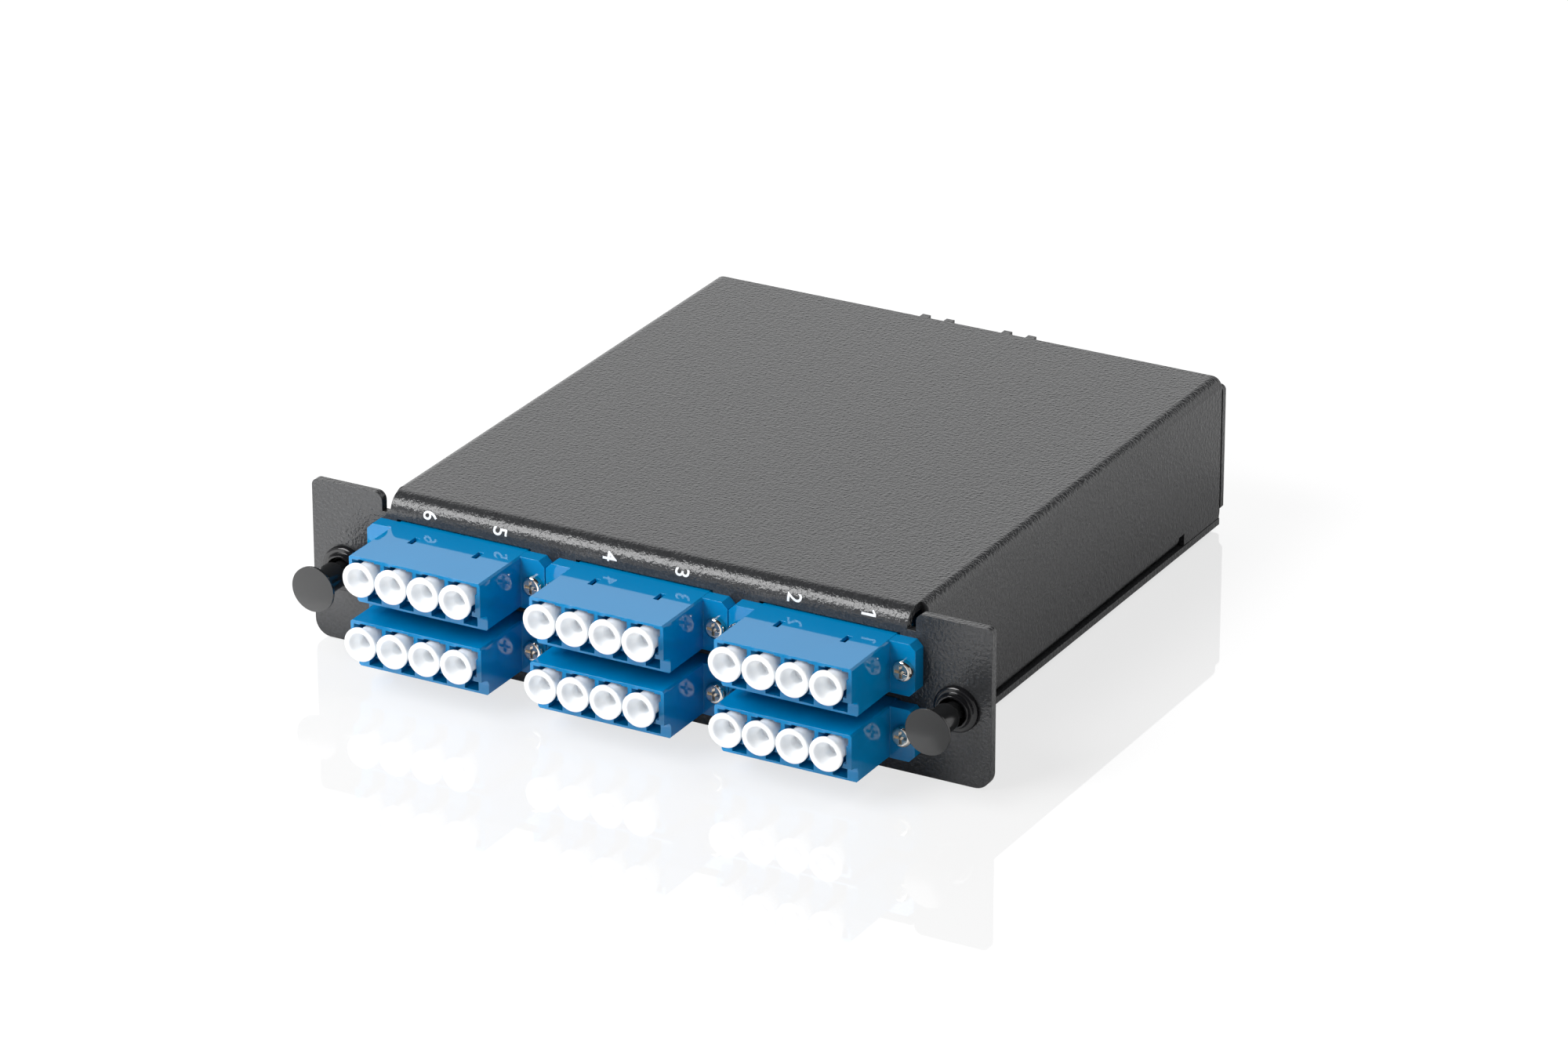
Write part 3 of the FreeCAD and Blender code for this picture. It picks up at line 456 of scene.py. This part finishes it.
@dataclass(frozen=True)
class FinishSet:
    """All finishes of the cassette, made once."""

    coat: Finish = PowderCoat("powder_coat", (0.024, 0.0245, 0.026), 0.16)
    blue: Finish = MouldedPlastic("adapter_blue", (0.0, 0.225, 0.51), 0.05, shade=(0.0, 0.21, 0.48),
                                  depth=0.000004, gloss=0.42)
    # The white cap gets a faint painted glow all over.
    cap: Finish = MouldedPlastic("cap_white", (0.85, 0.865, 0.88), 0.34, shade=(0.83, 0.85, 0.87),
                                 glow=0.9, painted_glow=0.05)
    grommet: Finish = MouldedPlastic("grommet_black", (0.008, 0.008, 0.009), 0.10,
                                     shade=(0.006, 0.006, 0.007))
    knob: Finish = MouldedPlastic("knob_grey", (0.014, 0.0145, 0.015), 0.16, shade=(0.012, 0.0125, 0.013),
                                  depth=0.00001)
    steel: Finish = PlatedSteel("plated_steel", (0.70, 0.65, 0.58), 0.12, edge=0.00006)
    ceramic: Finish = MouldedPlastic("ceramic", (0.86, 0.85, 0.82), 0.08, shade=(0.84, 0.83, 0.80))
    plug: Finish = MouldedPlastic("plug_blue", (0.01, 0.16, 0.42), 0.3, shade=(0.01, 0.14, 0.38))
    fibre: Finish = MouldedPlastic("fibre_yellow", (0.80, 0.52, 0.03), 0.42, shade=(0.75, 0.47, 0.03))
    black: Finish = MouldedPlastic("moulded_black", (0.018, 0.018, 0.019), 0.38, shade=(0.015, 0.015, 0.016))
    ink: Finish = MouldedPlastic("white_ink", (0.82, 0.83, 0.84), 0.5, shade=(0.78, 0.79, 0.80),
                                 depth=0.00001)

    def make(self) -> dict[str, bpy.types.Material]:
        """Make every material.

        Returns:
            Material by the name of its field.
        """
        return {item.name: getattr(self, item.name).build() for item in fields(self)}


# Sub-assemblies


def dress(names: Iterable[str], material: bpy.types.Material) -> None:
    """Give CAD nodes a finish.

    Args:
        names: Names of the nodes.
        material: Finish to give.
    """
    for name in names:
        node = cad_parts[name]
        if not node.material_slots:
            node.data.materials.append(material)
        for slot in node.material_slots:
            slot.material = material
        LOG.info("dressed %s with %s", name, material.name)


def finish_piece(mesh: bmesh.types.BMesh, name: str, material: bpy.types.Material,
                 body: str) -> bpy.types.Object:
    """Turn a bmesh into a piece that rides on a body.

    Args:
        mesh: The shape, in metres, in place.
        name: Name of the piece.
        material: Its finish.
        body: The body that it rides on.

    Returns:
        The piece.
    """
    data = bpy.data.meshes.new(name)
    mesh.to_mesh(data)
    mesh.free()
    for polygon in data.polygons:
        polygon.use_smooth = False
    data.materials.append(material)
    piece = bpy.data.objects.new(name, data)
    bpy.context.scene.collection.objects.link(piece)
    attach(piece, body)
    LOG.info("built %s with %d faces", name, len(data.polygons))
    return piece


@dataclass
class PrintedDigits:
    """White digits on the front bend, each lying on its side.

    Attributes:
        places: Digit and its middle along X, in millimetres.
        height: Height of a digit, in millimetres.
        width: Share of the font's own width.
        bend_radius: Outer radius of the bend, in millimetres.
        bend_y: The bend's centre line in Y, in millimetres.
        bend_z: The bend's centre line in Z, in millimetres.
        angle: Where the digits' middle lies on the bend, in degrees above the panel's face.
        proud: How far the ink stands out of the coat, in millimetres.
        stroke: Extra weight of the font's strokes.
        flag: Corners of the one's flag about its middle, in millimetres.
        cuts: Cuts on each side of a digit's middle, enough to pass its edge.
        strip: Width of the strip between two cuts, in millimetres.
    """

    places: tuple[tuple[str, float], ...] = (
        ("6", -41.6), ("5", -27.9), ("4", -6.6), ("3", 7.2), ("2", 28.4), ("1", 42.2),
    )
    height: float = 2.7
    width: float = 0.95
    bend_radius: float = 3.2
    bend_y: float = 3.2
    bend_z: float = 25.7
    angle: float = 18.4
    proud: float = 0.03
    stroke: float = 0.010
    flag: tuple[tuple[float, float], ...] = ((-0.21, 1.35), (-0.95, 0.74), (-0.74, 0.46), (-0.21, 0.90))
    cuts: int = 12
    strip: float = 0.1

    def outline(self, digit: str) -> bmesh.types.BMesh:
        """Make one digit as flat faces, centred, upright in X and Y, in millimetres.

        Args:
            digit: The digit.

        Returns:
            The flat digit, cut in narrow strips so that it can follow the bend.
        """
        curve = bpy.data.curves.new("digit", "FONT")
        curve.body = digit
        curve.offset = self.stroke
        text = bpy.data.objects.new("digit", curve)
        bpy.context.scene.collection.objects.link(text)
        bpy.context.view_layer.update()
        data = bpy.data.meshes.new_from_object(text)
        bpy.data.objects.remove(text)
        bpy.data.curves.remove(curve)
        shape = bmesh.new()
        shape.from_mesh(data)
        bpy.data.meshes.remove(data)
        xs = [v.co.x for v in shape.verts]
        ys = [v.co.y for v in shape.verts]
        scale = self.height / (max(ys) - min(ys))
        middle = Vector(((max(xs) + min(xs)) / 2, (max(ys) + min(ys)) / 2, 0))
        bmesh.ops.translate(shape, verts=shape.verts, vec=-middle)
        bmesh.ops.scale(shape, verts=shape.verts, vec=(scale * self.width, scale, 1))
        if digit == "1":
            shape.faces.new([shape.verts.new((x, y, 0)) for x, y in self.flag])
        for step in range(-self.cuts, self.cuts + 1):
            geometry = shape.verts[:] + shape.edges[:] + shape.faces[:]
            bmesh.ops.bisect_plane(shape, geom=geometry, plane_co=(step * self.strip, 0, 0),
                                   plane_no=(1, 0, 0))
        return shape

    def on_bend(self, middle: float, across: float, up: float) -> Vector:
        """Place a point of a flat digit on the bend.

        Args:
            middle: The digit's middle along X, in millimetres.
            across: The point's X in the flat digit, in millimetres.
            up: The point's Y in the flat digit, in millimetres.

        Returns:
            The point, in metres.
        """
        radius = self.bend_radius + self.proud
        turn = radians(self.angle) - across / radius
        return Vector((middle + up, self.bend_y - radius * cos(turn), self.bend_z + radius * sin(turn))) * MM

    def build(self, material: bpy.types.Material) -> bpy.types.Object:
        """Wrap every digit onto the bend.

        Args:
            material: The ink.

        Returns:
            The piece.
        """
        whole = bmesh.new()
        for digit, middle in self.places:
            shape = self.outline(digit)
            for vertex in shape.verts:
                vertex.co = self.on_bend(middle, vertex.co.x, vertex.co.y)
            data = bpy.data.meshes.new("digit")
            shape.to_mesh(data)
            shape.free()
            whole.from_mesh(data)
            bpy.data.meshes.remove(data)
        bmesh.ops.recalc_face_normals(whole, faces=whole.faces)
        for face in whole.faces:
            if face.normal.y > 0:
                face.normal_flip()
        return finish_piece(whole, "port_digits", material, "housing")


@dataclass
class Housing:
    """Folded cover, base tray and the screws that join them."""

    sheets: tuple[str, ...] = ("housing_cover", "base_tray")
    screws: tuple[str, ...] = ("base_screws",)
    digits: PrintedDigits = field(default_factory=PrintedDigits)

    def build(self, finishes: dict[str, bpy.types.Material]) -> None:
        """Dress the sheets and print the digits.

        Args:
            finishes: Materials by name.
        """
        dress(self.sheets, finishes["coat"])
        dress(self.screws, finishes["steel"])
        self.digits.build(finishes["ink"])


@dataclass
class FrontAdapters:
    """Six four-port adapters with their caps, screws, nuts and sleeves."""

    adapters: int = 6
    caps: int = 24

    def build(self, finishes: dict[str, bpy.types.Material]) -> None:
        """Dress the adapters and what they hold.

        Args:
            finishes: Materials by name.
        """
        dress([f"lc_adapter_{i + 1}" for i in range(self.adapters)], finishes["blue"])
        dress([f"dust_cap_{i + 1:02d}" for i in range(self.caps)], finishes["cap"])
        dress(["adapter_screws", "adapter_nuts"], finishes["steel"])
        dress(["alignment_sleeves"], finishes["ceramic"])


@dataclass
class Plungers:
    """Snap plungers and grommets in the ears."""

    sides: tuple[str, ...] = ("left", "right")

    def build(self, finishes: dict[str, bpy.types.Material]) -> None:
        """Dress the plungers and grommets.

        Args:
            finishes: Materials by name.
        """
        dress([f"grommet_{side}" for side in self.sides], finishes["grommet"])
        dress([f"plunger_{side}" for side in self.sides], finishes["knob"])


@dataclass
class Harness:
    """Plugs, fibres and trunks inside, and the multi-fibre adapters at the back."""

    sides: tuple[str, ...] = ("left", "right")
    rows: tuple[str, ...] = ("upper", "lower")

    def build(self, finishes: dict[str, bpy.types.Material]) -> None:
        """Dress the harness.

        Args:
            finishes: Materials by name.
        """
        dress([f"lc_plugs_{row}" for row in self.rows], finishes["plug"])
        dress([f"fanout_fibres_{row}" for row in self.rows], finishes["fibre"])
        dress([f"fibre_trunk_{side}" for side in self.sides], finishes["fibre"])
        dress(["fanout_blocks", "fanout_holder"], finishes["black"])
        for kind in ("mpo_adapter", "mpo_plug", "mpo_cap"):
            dress([f"{kind}_{side}" for side in self.sides], finishes["black"])
        dress(["rear_screws", "rear_nuts"], finishes["steel"])


# Studio


@dataclass
class Softbox:
    """One soft lamp.

    Attributes:
        name: Name of the lamp.
        place: Where it stands, in metres.
        target: What it points at, in metres.
        size: Its width and height, in metres.
        radiance: Brightness of its face.
        mirrored: Whether glossy surfaces show it.
    """

    name: str
    place: Point
    target: Point
    size: tuple[float, float]
    radiance: float
    mirrored: bool = True

    def build(self) -> bpy.types.Object:
        """Make the lamp.

        Returns:
            The lamp.
        """
        lamp = bpy.data.lights.new(self.name, "AREA")
        lamp.shape = "RECTANGLE"
        lamp.size, lamp.size_y = self.size
        lamp.energy = self.radiance * pi * self.size[0] * self.size[1]
        light = bpy.data.objects.new(self.name, lamp)
        bpy.context.scene.collection.objects.link(light)
        light.location = self.place
        aim = Vector(self.target) - Vector(self.place)
        light.rotation_euler = aim.to_track_quat("-Z", "Y").to_euler()
        light.visible_camera = False
        light.visible_glossy = self.mirrored
        return light


@dataclass
class Surroundings:
    """White to the camera; to the light, a white backdrop behind, dimmer walls and a dark ceiling.

    Attributes:
        walls: Brightness of the walls in front and at the sides.
        backdrop: Brightness of the wall behind the part.
        ceiling: Brightness of the ceiling.
        corner: Directions, as their Y, between which the walls turn into the backdrop.
        top: Directions, as their Z, between which the ceiling turns into the walls.
        rise: How much higher, as a direction's Z, the walls end on the left.
        rise_span: Directions, as their X, between which that rise fades out.
    """

    walls: float = 0.5
    backdrop: float = 1.15
    ceiling: float = 0.03
    corner: tuple[float, float] = (-0.15, 0.15)
    top: tuple[float, float] = (0.54, 0.42)
    rise: float = 0.16
    rise_span: tuple[float, float] = (-0.46, -0.28)

    def brightness(self, tree: Tree) -> Socket:
        """Work out how bright the surroundings are in each direction.

        Args:
            tree: The world's node tree.

        Returns:
            Socket with the brightness.
        """
        split = tree.nodes.new("ShaderNodeSeparateXYZ")
        tree.links.new(tree.nodes.new("ShaderNodeTexCoord").outputs["Generated"], split.inputs[0])
        behind = map_range(tree, split.outputs["Y"], 0.0, 1.0, self.corner)
        rise = map_range(tree, split.outputs["X"], self.rise, 0.0, self.rise_span)
        low = map_range(tree, math_node(tree, "SUBTRACT", split.outputs["Z"], rise), 0.0, 1.0, self.top)
        walls = map_range(tree, behind, self.walls - self.ceiling, self.backdrop - self.ceiling)
        return math_node(tree, "ADD", math_node(tree, "MULTIPLY", walls, low), self.ceiling)

    def build(self) -> None:
        """Make the world."""
        world = bpy.data.worlds.new("surroundings")
        bpy.context.scene.world = world
        world.use_nodes = True
        tree = world.node_tree
        tree.nodes.clear()
        seen = tree.nodes.new("ShaderNodeBackground")
        lit = tree.nodes.new("ShaderNodeBackground")
        for shade in (seen, lit):
            shade.inputs["Color"].default_value = (1.0, 1.0, 1.0, 1.0)
        tree.links.new(self.brightness(tree), lit.inputs["Strength"])
        mix = tree.nodes.new("ShaderNodeMixShader")
        tree.links.new(tree.nodes.new("ShaderNodeLightPath").outputs["Is Camera Ray"], mix.inputs[0])
        tree.links.new(lit.outputs[0], mix.inputs[1])
        tree.links.new(seen.outputs[0], mix.inputs[2])
        tree.links.new(mix.outputs[0], tree.nodes.new("ShaderNodeOutputWorld").inputs["Surface"])


@dataclass
class Floor:
    """Pale floor that keeps a soft shadow and a faint reflection, and is clear from below; in reflections it
    shows a painted pool of light in front and to the left.

    Attributes:
        half_size: Half the floor's width, in metres.
        gap: How far it lies below the part, in metres.
        colour: Brightness of its colour to the light.
        seen: Brightness of its colour to the camera.
        lift: Light that it gives off to the camera, which makes it white.
        roughness: Its roughness.
        shine: Painted pool of light that it gives off to glossy surfaces only, where that is strongest.
        shine_left: How fast the shine grows towards -X, per metre.
        shine_middle: Share of the shine at X = 0.
        shine_front: How fast the shine grows towards -Y, per metre.
    """

    half_size: float = 3.0
    gap: float = 0.0002
    colour: float = 0.80
    seen: float = 0.22
    lift: float = 0.72
    roughness: float = 0.02
    shine: float = 1.6
    shine_left: float = 7.0
    shine_middle: float = 0.45
    shine_front: float = 60.0

    def light_given(self, tree: Tree, path: bpy.types.ShaderNode) -> Socket:
        """Work out the light that the floor gives off.

        Args:
            tree: The floor's node tree.
            path: Its Light Path node.

        Returns:
            Socket with the strength of that light.
        """
        # Painted pool of light: glossy rays see the floor give off light, strongest in front of the part and
        # to its left.
        spot = tree.nodes.new("ShaderNodeSeparateXYZ")
        tree.links.new(tree.nodes.new("ShaderNodeTexCoord").outputs["Object"], spot.inputs[0])
        left = math_node(tree, "MULTIPLY_ADD", spot.outputs["X"], -self.shine_left, self.shine_middle,
                         clamp=True)
        front = math_node(tree, "MULTIPLY", spot.outputs["Y"], -self.shine_front, clamp=True)
        near = math_node(tree, "MULTIPLY", left, front)
        mirrored = math_node(tree, "MULTIPLY", path.outputs["Is Glossy Ray"], near)
        lift = math_node(tree, "MULTIPLY", path.outputs["Is Camera Ray"], self.lift)
        return math_node(tree, "ADD", lift, math_node(tree, "MULTIPLY", mirrored, self.shine))

    def material(self) -> bpy.types.Material:
        """Make the floor's material.

        Returns:
            The material.
        """
        material = bpy.data.materials.new("floor_white")
        material.use_nodes = True
        tree = material.node_tree
        shader = tree.nodes["Principled BSDF"]
        shader.inputs["Roughness"].default_value = self.roughness
        path = tree.nodes.new("ShaderNodeLightPath")
        colour = blend_colours(tree, path.outputs["Is Camera Ray"], (self.colour,) * 3, (self.seen,) * 3)
        tree.links.new(colour, shader.inputs["Base Color"])
        light = tree.nodes.new("ShaderNodeEmission")
        tree.links.new(self.light_given(tree, path), light.inputs["Strength"])
        both = tree.nodes.new("ShaderNodeAddShader")
        tree.links.new(shader.outputs[0], both.inputs[0])
        tree.links.new(light.outputs[0], both.inputs[1])
        sided = tree.nodes.new("ShaderNodeMixShader")
        tree.links.new(tree.nodes.new("ShaderNodeNewGeometry").outputs["Backfacing"], sided.inputs[0])
        tree.links.new(both.outputs[0], sided.inputs[1])
        tree.links.new(tree.nodes.new("ShaderNodeBsdfTransparent").outputs[0], sided.inputs[2])
        tree.links.new(sided.outputs[0], tree.nodes["Material Output"].inputs["Surface"])
        return material

    def build(self) -> bpy.types.Object:
        """Lay the floor.

        Returns:
            The floor.
        """
        shape = bmesh.new()
        below = Matrix.Translation((0, 0, -self.gap))
        bmesh.ops.create_grid(shape, x_segments=1, y_segments=1, size=self.half_size, matrix=below)
        data = bpy.data.meshes.new("floor")
        shape.to_mesh(data)
        shape.free()
        floor = bpy.data.objects.new("floor", data)
        bpy.context.scene.collection.objects.link(floor)
        data.materials.append(self.material())
        return floor


@dataclass
class Studio:
    """White floor, white surroundings and soft lamps."""

    surroundings: Surroundings = field(default_factory=Surroundings)
    floor: Floor = field(default_factory=Floor)
    lamps: tuple[Softbox, ...] = (
        Softbox("key", (-0.35, -0.45, 0.56), (0.0, 0.02, 0.02), (0.45, 0.50), 9.5),
        Softbox("right_top", (0.34, 0.05, 0.68), (0.0, 0.03, 0.02), (0.40, 0.40), 2.2, mirrored=False),
        Softbox("left_fill", (-0.34, -0.52, 0.12), (0.0, 0.0, 0.015), (0.40, 0.20), 4.8, mirrored=False),
    )

    def build(self) -> None:
        """Set up the studio."""
        self.surroundings.build()
        self.floor.build()
        for lamp in self.lamps:
            lamp.build()
        LOG.info("built the studio with %d lamps", len(self.lamps))


@dataclass
class PhotoCamera:
    """Camera at the photograph's viewing angle.

    Attributes:
        place: Where it stands, in metres.
        yaw: Turn to the left of +Y, in degrees.
        pitch: Tilt up from level, in degrees.
        roll: Turn about the line of sight, in degrees.
        lens: Focal length, in millimetres.
        sensor: Width of the sensor, in millimetres.
        near: Distance at which it starts to see, in metres.
        far: Distance at which it stops, in metres.
    """

    place: Point = (0.55017, -0.94624, 0.51189)
    yaw: float = 28.960
    pitch: float = -23.580
    roll: float = 0.0933
    lens: float = 165.854
    sensor: float = 36.0
    near: float = 0.01
    far: float = 20.0

    def build(self) -> bpy.types.Object:
        """Make the camera and give it to the scene.

        Returns:
            The camera.
        """
        data = bpy.data.cameras.new("photo_camera")
        data.sensor_width = self.sensor
        data.sensor_fit = "HORIZONTAL"
        data.lens = self.lens
        data.clip_start = self.near
        data.clip_end = self.far
        camera = bpy.data.objects.new("photo_camera", data)
        bpy.context.scene.collection.objects.link(camera)
        turn = (Matrix.Rotation(radians(self.yaw), 3, "Z") @ Matrix.Rotation(radians(self.pitch), 3, "X")
                @ Matrix.Rotation(radians(self.roll), 3, "Y"))
        right, forward, up = turn.col
        facing = Matrix((right, up, -forward)).transposed()
        camera.matrix_world = Matrix.Translation(self.place) @ facing.to_4x4()
        bpy.context.scene.camera = camera
        return camera


def main() -> None:
    """Build the scene."""
    logging.basicConfig(level=logging.INFO)
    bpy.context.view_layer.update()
    bpy.context.scene.view_settings.view_transform = "Standard"
    finishes = FinishSet().make()
    PhotoCamera().build()
    Studio().build()
    for assembly in (Housing(), FrontAdapters(), Plungers(), Harness()):
        assembly.build(finishes)


if __name__ == "__main__":
    main()
